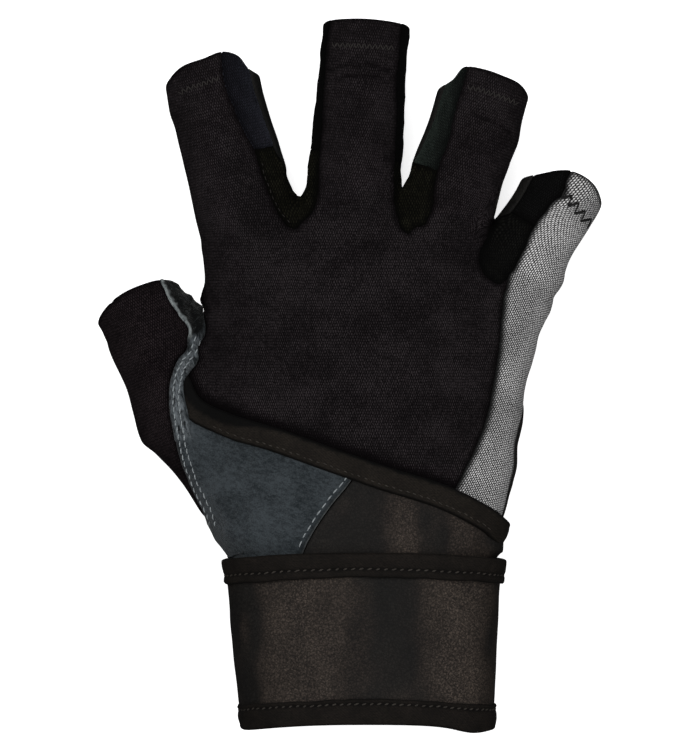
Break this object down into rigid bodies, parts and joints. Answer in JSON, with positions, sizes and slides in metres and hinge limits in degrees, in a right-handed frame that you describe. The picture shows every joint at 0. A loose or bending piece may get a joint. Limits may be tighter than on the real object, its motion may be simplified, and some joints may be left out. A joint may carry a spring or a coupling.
{
  "type": "weightlifting glove",
  "caption": "Open-fingered right-hand lifting glove of knit, mesh, suede and leather, with a leatherette strap wrapped twice round the wrist, lying palm down.",
  "frame": {"origin": "middle of the glove's bounds, on the floor that the palm rests on", "axes": "+Y from the wrist to the fingertips, +Z out of the back of the hand, the thumb on the -X side"},
  "size_m": [0.1508, 0.213, 0.0507],
  "materials": {
    "back_panel": "black fine knit",
    "mesh_panel": "grey open mesh",
    "palm_panel": "black soft leather",
    "thumb_back": "black fine knit",
    "web_index_middle": "olive-black knit",
    "web_middle_ring": "olive-black knit",
    "web_ring_little": "olive-black knit",
    "strip_index_right": "navy-black knit with a sheen",
    "strip_middle_left": "black knit",
    "strip_middle_right": "black knit",
    "strip_ring_left": "green-black knit",
    "strip_little_left": "black knit",
    "suede_saddle": "blue-grey suede",
    "wrist_strap": "black pebbled leatherette, soft sheen",
    "edge_binding": "black tape",
    "front_binding": "black tape",
    "rear_binding": "black tape",
    "hook_tab": "black hook tape"
  },
  "bodies": {
    "root": {"back_panel": "back_panel", "mesh_panel": "mesh_panel", "palm_panel": "palm_panel", "thumb_back": "thumb_back", "web_index_middle": "web_index_middle", "web_middle_ring": "web_middle_ring", "web_ring_little": "web_ring_little", "strip_index_right": "strip_index_right", "strip_middle_left": "strip_middle_left", "strip_middle_right": "strip_middle_right", "strip_ring_left": "strip_ring_left", "strip_little_left": "strip_little_left", "suede_saddle": "suede_saddle", "wrist_strap": "wrist_strap", "edge_binding": "edge_binding", "front_binding": "front_binding", "rear_binding": "rear_binding", "hook_tab": "hook_tab"}
  },
  "joints": []
}
